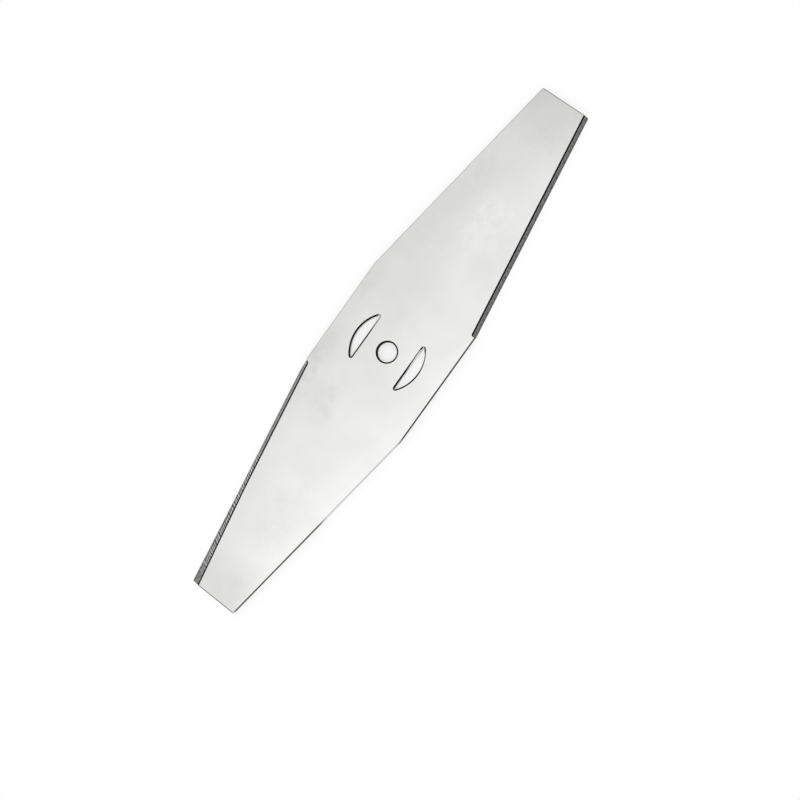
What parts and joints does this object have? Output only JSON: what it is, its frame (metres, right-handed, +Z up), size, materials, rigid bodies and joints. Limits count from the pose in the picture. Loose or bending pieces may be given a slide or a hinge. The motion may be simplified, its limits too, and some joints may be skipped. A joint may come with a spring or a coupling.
{
  "type": "grass trimmer blade",
  "caption": "Flat steel trimmer blade that tapers to both ends, with a central bore, half-moon drive slots and a ground cutting edge on opposite sides of its ends.",
  "frame": {"origin": "middle of the bore on the underside, which lies on the ground plane", "axes": "+X along the blade, +Y across it, +Z up out of the face that the edges are ground on"},
  "size_m": [0.15, 0.032, 0.0012],
  "materials": {
    "steel": "pale rolled sheet steel with darker ground edges"
  },
  "bodies": {
    "root": {"trimmer_blade": "steel"}
  },
  "joints": []
}
